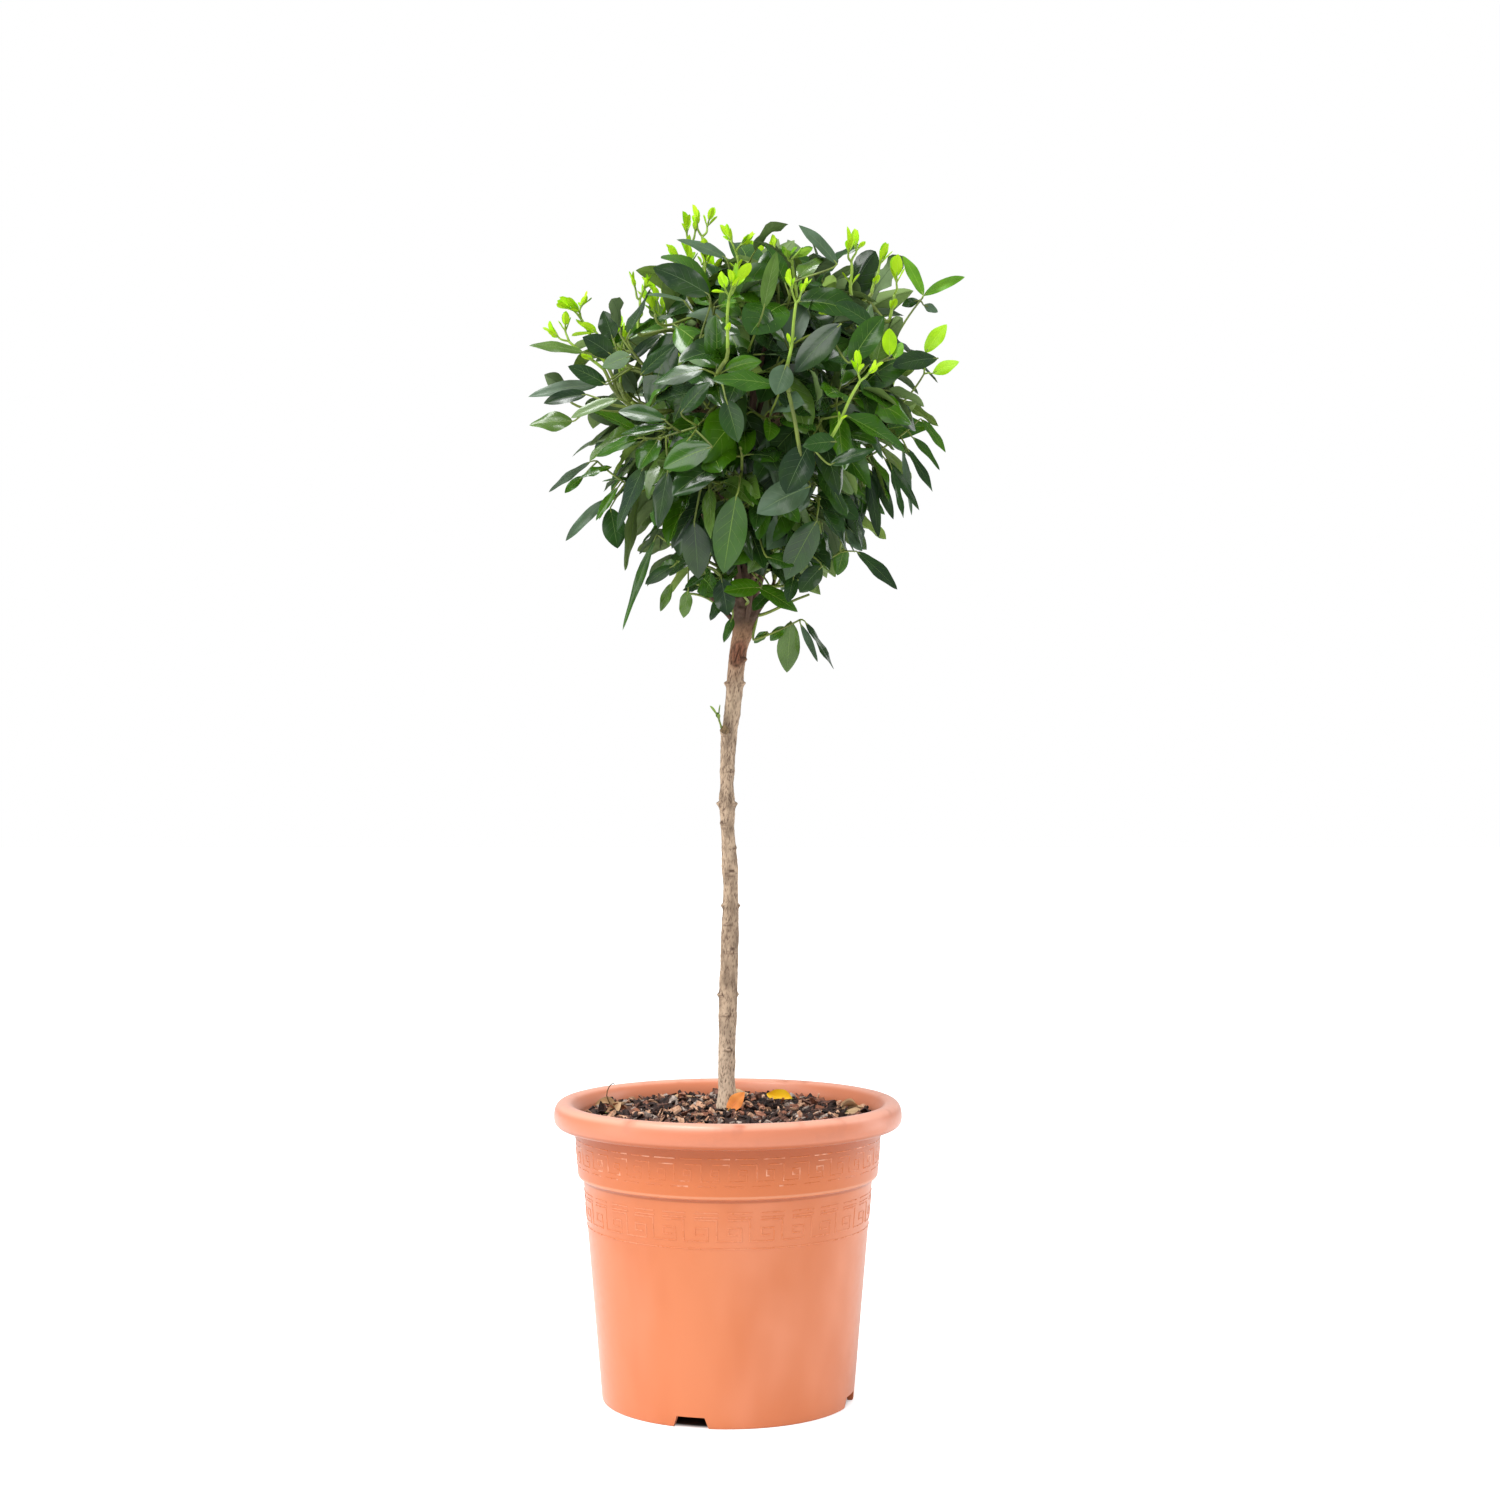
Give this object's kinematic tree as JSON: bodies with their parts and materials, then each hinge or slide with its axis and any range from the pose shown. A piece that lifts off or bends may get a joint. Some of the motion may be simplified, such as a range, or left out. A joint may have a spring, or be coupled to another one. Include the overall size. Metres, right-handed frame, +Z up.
{
  "type": "standard lollipop topiary in a pot",
  "caption": "Evergreen shrub trained as a standard: one bare upright stem with a rounded, leafy head, growing in a round terracotta-coloured plastic pot.",
  "frame": {"origin": "middle of the pot's underside, on the surface the pot stands on", "axes": "+Z up along the stem, -Y towards the front of the plant, +X to the right as seen from the front"},
  "size_m": [0.3711, 0.3647, 1.0231],
  "materials": {
    "pot_plastic": "satin moulded plastic, terracotta colour",
    "potting_mix": "rough bark mulch",
    "bark": "matt, finely cracked",
    "foliage": "glossy leaves"
  },
  "bodies": {
    "root": {"pot": "pot_plastic", "soil": "potting_mix", "trunk": "bark", "bough_leader": "bark", "bough_lower_1": "bark", "bough_lower_2": "bark", "bough_lower_3": "bark", "bough_lower_4": "bark", "bough_lower_5": "bark", "bough_middle_1": "bark", "bough_middle_2": "bark", "bough_middle_3": "bark", "bough_middle_4": "bark", "bough_middle_5": "bark", "bough_middle_6": "bark", "bough_middle_7": "bark", "bough_skirt_1": "bark", "bough_skirt_2": "bark", "bough_skirt_3": "bark", "bough_upper_1": "bark", "bough_upper_2": "bark", "bough_upper_3": "bark", "bough_upper_4": "bark", "bough_upper_5": "bark", "foliage_lower_1": "foliage", "foliage_lower_2": "foliage", "foliage_lower_3": "foliage", "foliage_lower_4": "foliage", "foliage_lower_5": "foliage", "foliage_middle_1": "foliage", "foliage_middle_2": "foliage", "foliage_middle_3": "foliage", "foliage_middle_4": "foliage", "foliage_middle_5": "foliage", "foliage_middle_6": "foliage", "foliage_middle_7": "foliage", "foliage_skirt_1": "foliage", "foliage_skirt_2": "foliage", "foliage_skirt_3": "foliage", "foliage_spray_back_hang": "foliage", "foliage_spray_back_side": "foliage", "foliage_spray_crest": "foliage", "foliage_spray_left_crest": "foliage", "foliage_spray_left_droop": "foliage", "foliage_spray_left_side": "foliage", "foliage_spray_right_crest": "foliage", "foliage_spray_right_droop": "foliage", "foliage_spray_right_hang": "foliage", "foliage_spray_right_side": "foliage", "foliage_spray_stem_side": "foliage", "foliage_top": "foliage", "foliage_upper_1": "foliage", "foliage_upper_2": "foliage", "foliage_upper_3": "foliage", "foliage_upper_4": "foliage", "foliage_upper_5": "foliage"}
  },
  "joints": []
}
